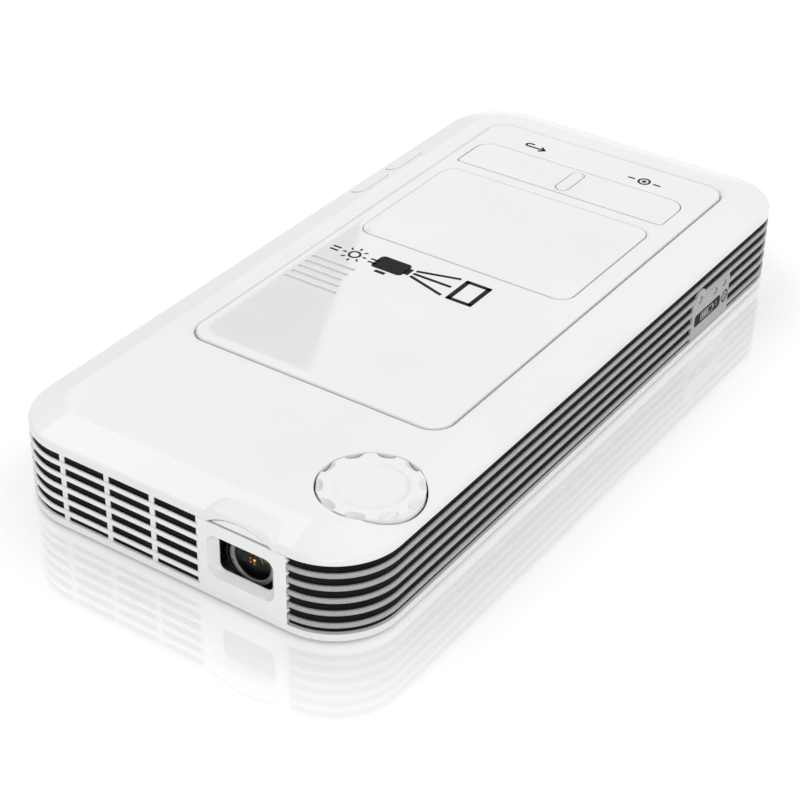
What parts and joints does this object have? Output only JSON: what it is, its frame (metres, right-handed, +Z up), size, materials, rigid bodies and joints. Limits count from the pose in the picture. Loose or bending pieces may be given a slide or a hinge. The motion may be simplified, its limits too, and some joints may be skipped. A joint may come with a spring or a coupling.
{
  "type": "pocket projector",
  "caption": "Phone-sized white projector with a corner lens, ribbed side, vent slots, focus dial, touch pad and rocker key on its flat top.",
  "frame": {"origin": "middle of the footprint, on the plane that the four feet stand on", "axes": "+Z up through the touch pad side, -Y out of the lens, +X towards the ribbed side and the focus dial"},
  "size_m": [0.064, 0.1324, 0.017],
  "materials": {
    "white_gloss": "moulded white ABS, high gloss",
    "white_satin": "moulded white ABS, soft gloss",
    "grey_satin": "silver grey paint on moulded ribs, satin",
    "black_plastic": "moulded black, fine matt",
    "steel": "ground steel",
    "aluminium": "milled, clear anodised",
    "lens_glass": "polished and coated",
    "light_pipe": "clear moulded, slightly milky",
    "circuit_board": "green solder mask",
    "battery_foil": "laminated foil, satin",
    "rubber": "matt moulded"
  },
  "bodies": {
    "case": {"top_cover": "white_gloss", "bottom_shell": "white_gloss", "top_panel": "white_gloss", "hood_trim": "white_satin", "front_fascia": "white_satin", "rear_panel": "white_satin", "left_port_panel": "white_satin", "touch_pad": "white_satin", "side_rib_band": "grey_satin", "vent_screen": "black_plastic", "engine_housing": "black_plastic", "fan_frame": "black_plastic", "speaker": "black_plastic", "dc_inlet_socket": "black_plastic", "av_jack_socket": "black_plastic", "headphone_jack_socket": "black_plastic", "charge_badge": "black_plastic", "power_badge": "black_plastic", "rocker_pivot_pin": "steel", "dial_spindle": "steel", "guide_rod_left": "steel", "guide_rod_right": "steel", "mini_usb_socket": "steel", "case_screw_1": "steel", "case_screw_2": "steel", "case_screw_3": "steel", "case_screw_4": "steel", "engine_lid": "aluminium", "red_led_module": "aluminium", "blue_led_module": "aluminium", "green_led_module": "aluminium", "heat_sink": "aluminium", "prism_block": "lens_glass", "status_light_1": "light_pipe", "status_light_2": "light_pipe", "status_light_3": "light_pipe", "main_board": "circuit_board", "key_board": "circuit_board", "battery_pack": "battery_foil", "mirror_chip": "battery_foil", "rubber_foot_1": "rubber", "rubber_foot_2": "rubber", "rubber_foot_3": "rubber", "rubber_foot_4": "rubber"},
    "rocker": {"rocker_key": "white_satin"},
    "volume_down": {"volume_down_key": "white_gloss"},
    "volume_up": {"volume_up_key": "white_gloss"},
    "dial": {"focus_dial": "white_gloss", "focus_cam": "black_plastic"},
    "lens_group": {"lens_carriage": "black_plastic", "lens_barrel": "black_plastic", "lens_ring": "grey_satin", "front_lens": "lens_glass", "rear_lens": "lens_glass"},
    "rotor": {"fan_rotor": "black_plastic"}
  },
  "joints": [
    {"name": "rocker_tilt", "type": "hinge", "parent": "case", "child": "rocker", "pos_m": [-0.0001, 0.0438, 0.01535], "axis": [0, 1, 0], "range_deg": [-1.1, 1.1], "stiffness_Nm_per_rad": 0.05},
    {"name": "volume_down_press", "type": "slide", "parent": "case", "child": "volume_down", "axis": [-0.3265, 0, 0.9452], "range_m": [-0.0004, 0], "stiffness_N_per_m": 200},
    {"name": "volume_up_press", "type": "slide", "parent": "case", "child": "volume_up", "axis": [-0.3265, 0, 0.9452], "range_m": [-0.0004, 0], "stiffness_N_per_m": 200},
    {"name": "dial_turn", "type": "hinge", "parent": "case", "child": "dial", "pos_m": [0.0232, -0.0498, 0.016], "axis": [0, 0, 1], "range_deg": [-60, 60]},
    {"name": "lens_focus", "type": "slide", "parent": "case", "child": "lens_group", "axis": [0, 1, 0], "range_m": [-0.00075, 0.00075]},
    {"name": "fan_spin", "type": "hinge", "parent": "case", "child": "rotor", "pos_m": [-0.016, -0.033, 0.006], "axis": [0, 0, 1], "continuous": true}
  ],
  "couplings": [
    {"joint": "dial_turn", "follows": "lens_focus", "rad_per_m": 1396.2}
  ]
}
